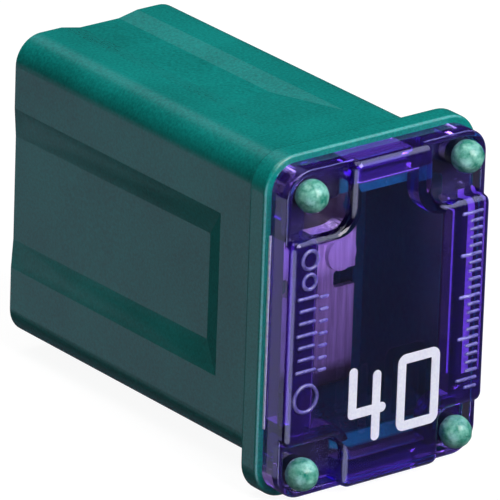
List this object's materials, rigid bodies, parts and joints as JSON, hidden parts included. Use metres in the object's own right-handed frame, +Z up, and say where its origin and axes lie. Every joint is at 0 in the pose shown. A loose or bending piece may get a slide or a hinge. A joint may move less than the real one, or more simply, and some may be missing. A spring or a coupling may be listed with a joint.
{
  "type": "micro female fuse",
  "caption": "Small box-shaped cartridge fuse with hidden female blade sockets, a green moulded housing and a clear violet cover held by domed plastic pins.",
  "frame": {"origin": "under the middle of the part's bounding box, at its lowest level as it lies on a narrow side", "axes": "+X across the fuse, +Y from the cover towards the terminal end, +Z up along the long side of the cover"},
  "size_m": [0.0112, 0.021, 0.0154],
  "materials": {
    "housing_plastic": "moulded, fine grain",
    "cover_plastic": "clear violet, glossy",
    "rating_ink": "printed white",
    "plated_copper_alloy": "tin plated, satin",
    "tin": "dull",
    "spring_steel": "satin"
  },
  "bodies": {
    "root": {"housing": "housing_plastic", "cover": "cover_plastic", "rating_digits": "rating_ink", "fuse_element": "plated_copper_alloy", "link_rivet": "tin", "upper_spring_clip": "spring_steel", "lower_spring_clip": "spring_steel"}
  },
  "joints": []
}
